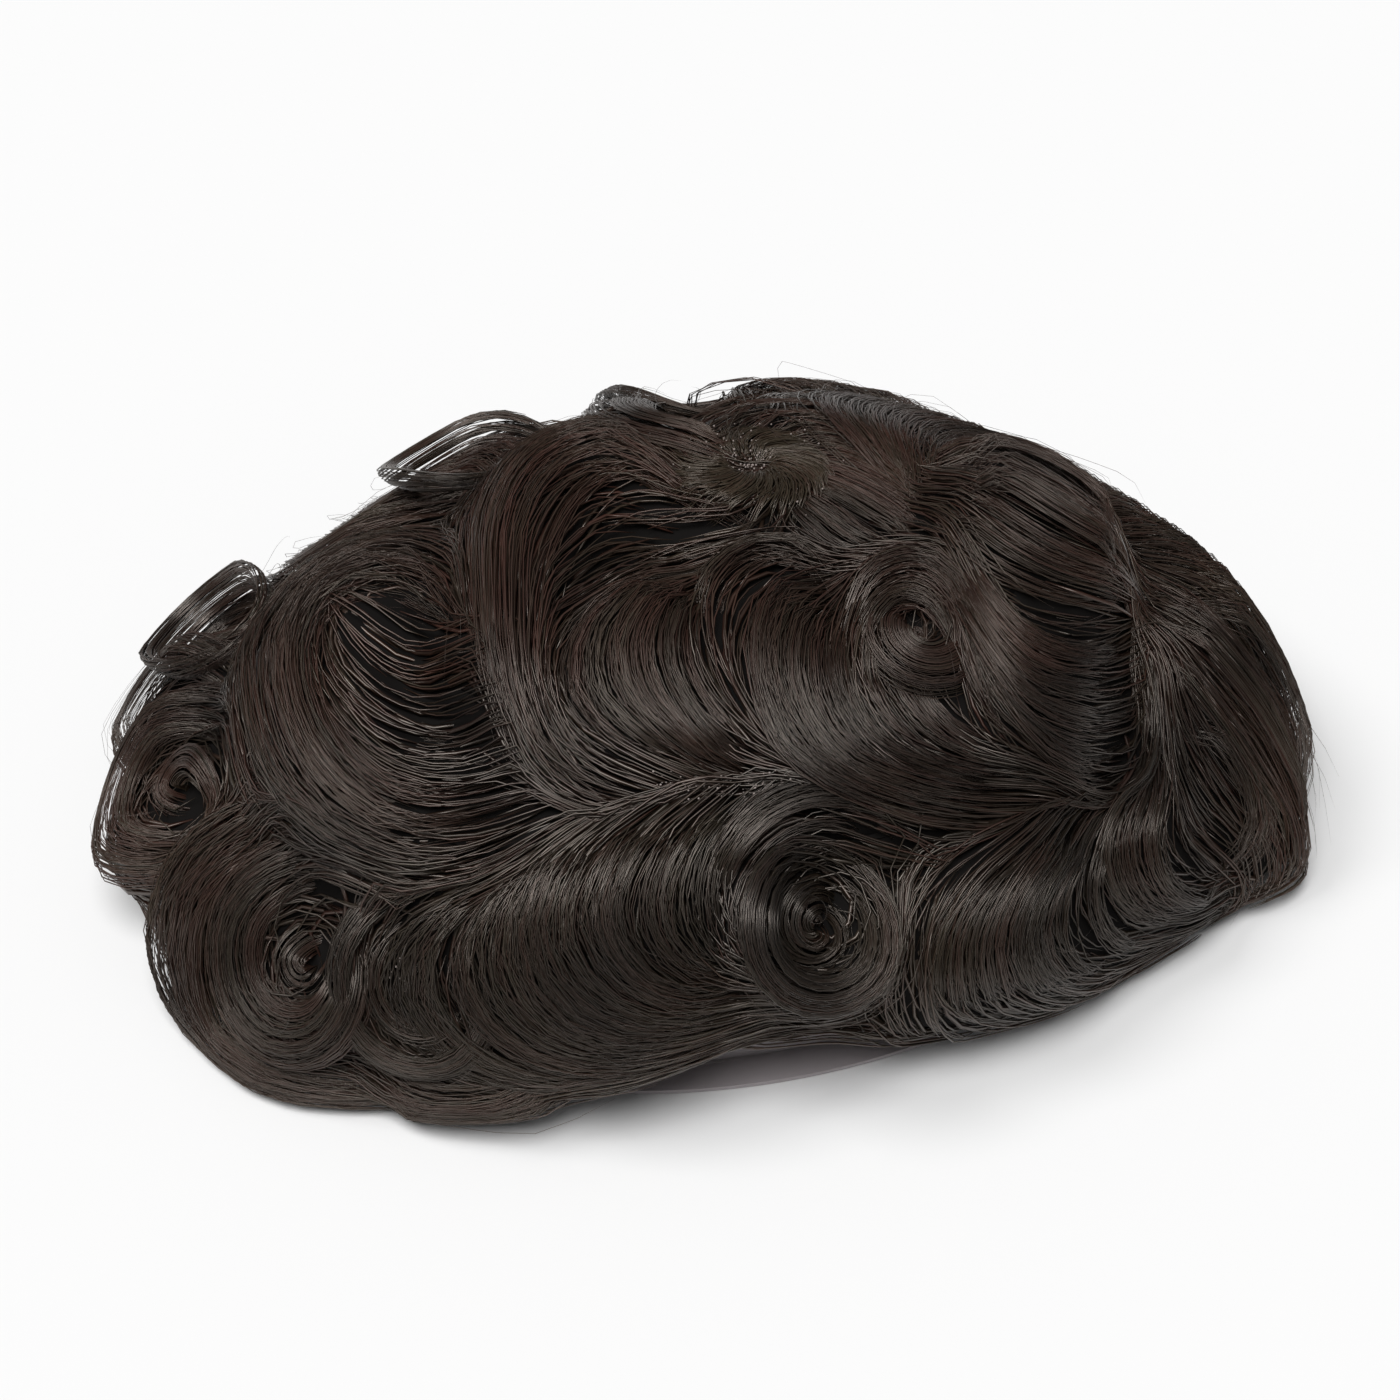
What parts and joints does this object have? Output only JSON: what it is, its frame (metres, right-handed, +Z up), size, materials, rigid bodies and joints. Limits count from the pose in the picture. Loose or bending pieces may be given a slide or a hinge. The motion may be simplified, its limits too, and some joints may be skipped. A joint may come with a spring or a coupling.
{
  "type": "toupee hairpiece",
  "caption": "Wavy black hairpiece for the top of the head: a thin domed skin base with a bare margin, with hair in pin curls, S waves and rolls, hollow beneath.",
  "frame": {"origin": "middle of the footprint, on the surface that the skin base's margin rests on", "axes": "+Z up through the crown, -Y towards the forehead edge, +X towards the wearer's left ear"},
  "size_m": [0.185, 0.2524, 0.0791],
  "materials": {
    "skin_film": "thin translucent polyurethane skin, satin, moulded to the head",
    "hair": "glossy off-black human hair with brown lights, combed into waves and curls"
  },
  "bodies": {
    "root": {"skin_base": "skin_film", "crown_sweep": "hair", "crown_swirl": "hair", "forelock": "hair", "forehead_curls": "hair", "left_waves": "hair", "back_fall": "hair", "right_waves": "hair"}
  },
  "joints": []
}
